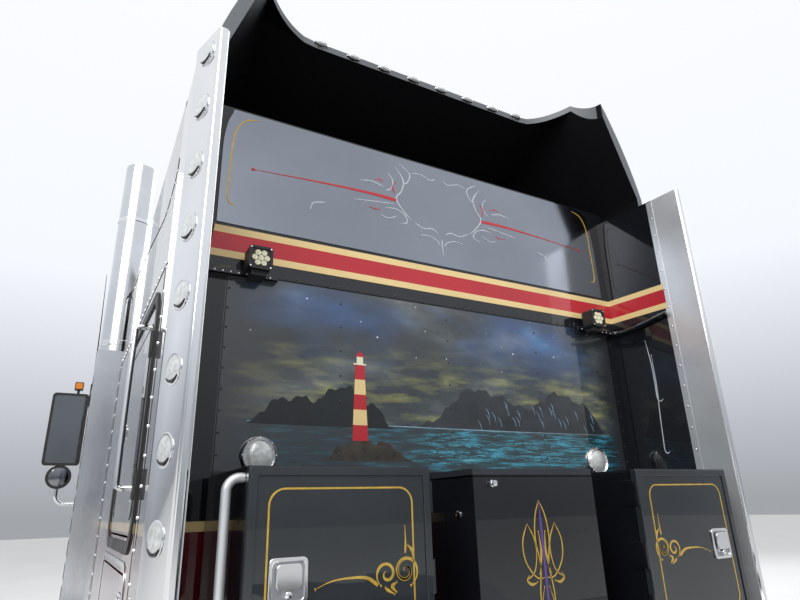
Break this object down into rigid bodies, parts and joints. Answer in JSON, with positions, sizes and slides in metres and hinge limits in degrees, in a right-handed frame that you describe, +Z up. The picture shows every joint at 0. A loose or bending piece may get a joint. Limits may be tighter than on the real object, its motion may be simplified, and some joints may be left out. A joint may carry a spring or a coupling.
{
  "type": "long-nose sleeper tractor truck",
  "caption": "Long-nose sleeper tractor truck with a horned roof fairing, lamp pillars, rear tool boxes and fifth wheel; its doors, hood and steering move.",
  "frame": {"origin": "on the ground under the middle of the truck's length and width", "axes": "+Y forward along the truck, +X to the truck's right, +Z up"},
  "size_m": [3.11, 8.55, 3.9],
  "materials": {
    "black_paint": "gloss black paint",
    "polished": "polished stainless steel",
    "aluminium": "polished aluminium",
    "frame_black": "satin black",
    "steel": "cast",
    "glass": "clear",
    "tyre": "matt rubber",
    "trim": "moulded",
    "seat": "woven",
    "deck_plate": "patterned plate"
  },
  "bodies": {
    "chassis": {"frame_rails": "frame_black", "front_axle": "steel", "springs": "steel", "drive_line": "steel", "engine": "steel", "bumper": "polished", "fuel_tanks": "aluminium", "cab_steps": "aluminium", "cab": "black_paint", "windscreen": "glass", "sleeper": "black_paint", "roof_fairing": "black_paint", "side_extenders": "black_paint", "lamp_pillars": "polished", "exhaust_stacks": "polished", "deck": "deck_plate", "tool_boxes": "black_paint", "grab_rails": "polished", "fifth_wheel_base": "frame_black", "rear_guards": "polished", "tail_bar": "polished", "air_cleaners": "polished", "roof_trim": "polished", "work_lamps": "trim", "seats": "seat", "cab_fittings": "trim"},
    "hood_body": {"hood": "black_paint", "grille": "polished", "headlamps": "polished"},
    "cab_door_left_body": {"cab_door_left": "black_paint", "mirror_left": "polished"},
    "cab_door_right_body": {"cab_door_right": "black_paint", "mirror_right": "polished"},
    "side_door_left_body": {"side_door_left": "black_paint"},
    "side_door_right_body": {"side_door_right": "black_paint"},
    "hatch_left_body": {"hatch_left": "black_paint"},
    "hatch_right_body": {"hatch_right": "black_paint"},
    "box_door_left_body": {"box_door_left": "black_paint"},
    "box_door_right_body": {"box_door_right": "black_paint"},
    "box_lid_body": {"box_lid": "black_paint"},
    "coupling_plate": {"fifth_wheel_plate": "steel"},
    "steering_wheel_body": {"steering_wheel": "trim"},
    "knuckle_left_body": {"knuckle_left": "steel"},
    "knuckle_right_body": {"knuckle_right": "steel"},
    "tie_rod_body": {"tie_rod": "steel"},
    "front_wheel_left": {"front_tyre_left": "tyre", "front_rim_left": "aluminium"},
    "front_wheel_right": {"front_tyre_right": "tyre", "front_rim_right": "aluminium"},
    "mid_wheel_left": {"mid_tyres_left": "tyre", "mid_rim_left": "aluminium"},
    "mid_wheel_right": {"mid_tyres_right": "tyre", "mid_rim_right": "aluminium"},
    "rear_wheel_left": {"rear_tyres_left": "tyre", "rear_rim_left": "aluminium"},
    "rear_wheel_right": {"rear_tyres_right": "tyre", "rear_rim_right": "aluminium"}
  },
  "joints": [
    {"name": "hood_tilt", "type": "hinge", "parent": "chassis", "child": "hood_body", "pos_m": [0, 4.075, 0.74], "axis": [-1, 0, 0], "range_deg": [0, 60]},
    {"name": "cab_door_left_open", "type": "hinge", "parent": "chassis", "child": "cab_door_left_body", "pos_m": [-1.02, 2.067, 1.7], "axis": [0, 0, -1], "range_deg": [0, 60]},
    {"name": "cab_door_right_open", "type": "hinge", "parent": "chassis", "child": "cab_door_right_body", "pos_m": [1.02, 2.067, 1.7], "axis": [0, 0, 1], "range_deg": [0, 60]},
    {"name": "side_door_left_open", "type": "hinge", "parent": "chassis", "child": "side_door_left_body", "pos_m": [-1.2, -0.695, 1.95], "axis": [0, 0, 1], "range_deg": [0, 90]},
    {"name": "side_door_right_open", "type": "hinge", "parent": "chassis", "child": "side_door_right_body", "pos_m": [1.2, -0.695, 1.95], "axis": [0, 0, -1], "range_deg": [0, 90]},
    {"name": "hatch_left_open", "type": "hinge", "parent": "chassis", "child": "hatch_left_body", "pos_m": [-1.2, 0.257, 1.265], "axis": [0, 0, -1], "range_deg": [0, 85]},
    {"name": "hatch_right_open", "type": "hinge", "parent": "chassis", "child": "hatch_right_body", "pos_m": [1.2, 0.257, 1.265], "axis": [0, 0, 1], "range_deg": [0, 85]},
    {"name": "box_door_left_open", "type": "hinge", "parent": "chassis", "child": "box_door_left_body", "pos_m": [-0.455, -1.381, 1.44], "axis": [0, 0, 1], "range_deg": [0, 110]},
    {"name": "box_door_right_open", "type": "hinge", "parent": "chassis", "child": "box_door_right_body", "pos_m": [0.455, -1.381, 1.44], "axis": [0, 0, -1], "range_deg": [0, 110]},
    {"name": "box_lid_open", "type": "hinge", "parent": "chassis", "child": "box_lid_body", "pos_m": [-0.01, -0.905, 1.715], "axis": [-1, 0, 0], "range_deg": [0, 80]},
    {"name": "fifth_wheel_tilt", "type": "hinge", "parent": "chassis", "child": "coupling_plate", "pos_m": [0, -2.775, 1.15], "axis": [1, 0, 0], "range_deg": [-8, 8]},
    {"name": "steer_left", "type": "hinge", "parent": "chassis", "child": "knuckle_left_body", "pos_m": [-0.9, 3.405, 0.52], "axis": [0, 0, 1], "range_deg": [-32, 32]},
    {"name": "steer_right", "type": "hinge", "parent": "chassis", "child": "knuckle_right_body", "pos_m": [0.9, 3.405, 0.52], "axis": [0, 0, 1], "range_deg": [-32, 32]},
    {"name": "tie_rod_swing", "type": "hinge", "parent": "knuckle_left_body", "child": "tie_rod_body", "pos_m": [-0.84, 3.185, 0.4], "axis": [0, 0, 1], "range_deg": [-32, 32]},
    {"name": "steering_wheel_turn", "type": "hinge", "parent": "chassis", "child": "steering_wheel_body", "pos_m": [0.48, 1.86, 1.84], "axis": [0, -0.5, 0.866], "range_deg": [-512, 512]},
    {"name": "front_wheel_left_spin", "type": "hinge", "parent": "knuckle_left_body", "child": "front_wheel_left", "pos_m": [-1.06, 3.405, 0.52], "axis": [1, 0, 0], "continuous": true},
    {"name": "front_wheel_right_spin", "type": "hinge", "parent": "knuckle_right_body", "child": "front_wheel_right", "pos_m": [1.06, 3.405, 0.52], "axis": [1, 0, 0], "continuous": true},
    {"name": "mid_wheel_left_spin", "type": "hinge", "parent": "chassis", "child": "mid_wheel_left", "pos_m": [-0.915, -2.185, 0.52], "axis": [1, 0, 0], "continuous": true},
    {"name": "mid_wheel_right_spin", "type": "hinge", "parent": "chassis", "child": "mid_wheel_right", "pos_m": [0.915, -2.185, 0.52], "axis": [1, 0, 0], "continuous": true},
    {"name": "rear_wheel_left_spin", "type": "hinge", "parent": "chassis", "child": "rear_wheel_left", "pos_m": [-0.915, -3.505, 0.52], "axis": [1, 0, 0], "continuous": true},
    {"name": "rear_wheel_right_spin", "type": "hinge", "parent": "chassis", "child": "rear_wheel_right", "pos_m": [0.915, -3.505, 0.52], "axis": [1, 0, 0], "continuous": true}
  ],
  "couplings": [
    {"joint": "steer_right", "follows": "steer_left", "ratio": 1},
    {"joint": "tie_rod_swing", "follows": "steer_left", "ratio": -1},
    {"joint": "steering_wheel_turn", "follows": "steer_left", "ratio": 16}
  ]
}
